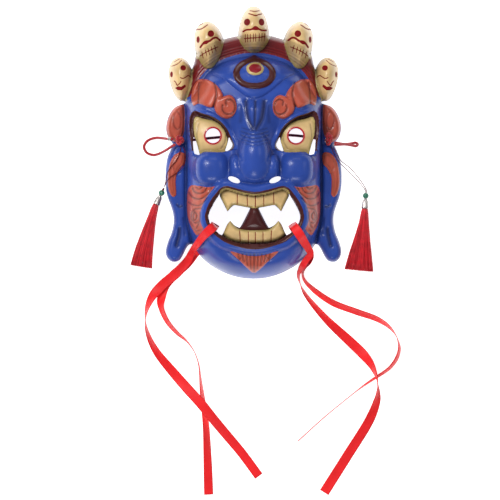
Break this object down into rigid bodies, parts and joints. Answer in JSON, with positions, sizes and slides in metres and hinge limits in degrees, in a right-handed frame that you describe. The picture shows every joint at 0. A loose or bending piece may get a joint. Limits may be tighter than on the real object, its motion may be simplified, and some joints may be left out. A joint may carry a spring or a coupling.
{
  "type": "carved mask",
  "caption": "Moulded plastic wrathful face mask with a crown of skulls, open fanged mouth, long ears, red ribbons and side tassels.",
  "frame": {"origin": "under the middle of the mask, on the plane of its back rim, ribbons and tassels left out", "axes": "+Z out of the face, +Y towards the skull crown, +X to the right of somebody facing it"},
  "size_m": [0.2716, 0.4894, 0.0731],
  "materials": {
    "painted_plastic": "royal blue moulded plastic painted in orange, cream, dark brown and dark red, glossy",
    "red_cord": "woven elastic cord",
    "crimson_thread": "twisted shiny thread",
    "green_bead": "polished",
    "silver_metal": "silver-coloured, engraved",
    "red_ribbon": "satin"
  },
  "bodies": {
    "root": {"mask_shell": "painted_plastic", "head_cord": "red_cord", "ear_loop_left": "red_cord", "ear_loop_right": "red_cord", "cord_crimp_left": "silver_metal", "ear_knot_left": "red_cord", "ear_knot_right": "red_cord", "tassel_thread_left": "crimson_thread", "tassel_thread_right": "crimson_thread", "tassel_bead_left": "green_bead", "tassel_bead_right": "green_bead", "tassel_cap_left": "silver_metal", "tassel_cap_right": "silver_metal", "tassel_fringe_left": "crimson_thread", "tassel_fringe_right": "crimson_thread", "ribbon_left_front": "red_ribbon", "ribbon_left_back": "red_ribbon", "ribbon_right_front": "red_ribbon", "ribbon_right_back": "red_ribbon"}
  },
  "joints": []
}
